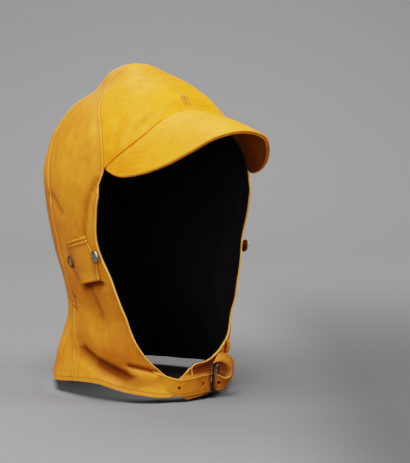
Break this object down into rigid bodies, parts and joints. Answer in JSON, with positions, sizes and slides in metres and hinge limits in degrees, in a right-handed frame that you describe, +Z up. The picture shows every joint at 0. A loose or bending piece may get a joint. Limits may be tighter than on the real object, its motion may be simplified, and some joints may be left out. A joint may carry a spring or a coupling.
{
  "type": "leather flying helmet",
  "caption": "Yellow leather flying helmet with a stitched peak, ear flaps with studs, a flared neck guard and a buckled chin strap.",
  "frame": {"origin": "inside top of the hollow, where the crown bears on the head", "axes": "+Z up through the crown, the face looks along -Y, the wearer's left is +X"},
  "size_m": [0.1826, 0.2583, 0.3017],
  "materials": {
    "leather": "satin",
    "leather_shaded": "satin",
    "lining_cloth": "matt",
    "steel": "polished",
    "aged_steel": "aged"
  },
  "bodies": {
    "root": {"crown_gore_right": "leather", "lining_crown_gore_right": "lining_cloth", "side_panel_right": "leather", "lining_side_panel_right": "lining_cloth", "crown_gore_left": "leather", "lining_crown_gore_left": "lining_cloth", "side_panel_left": "leather", "lining_side_panel_left": "lining_cloth", "back_panel": "leather", "lining_back_panel": "lining_cloth", "peak_top": "leather", "peak_underside": "leather_shaded", "ear_flap_right": "leather", "stud_cap_right": "steel", "stud_ring_right": "aged_steel", "ear_flap_left": "leather", "stud_cap_left": "steel", "stud_ring_left": "aged_steel", "chin_tab": "leather", "chin_strap": "leather", "buckle_frame": "steel", "buckle_chape": "leather", "buckle_prong": "steel", "strap_keeper": "leather"}
  },
  "joints": []
}
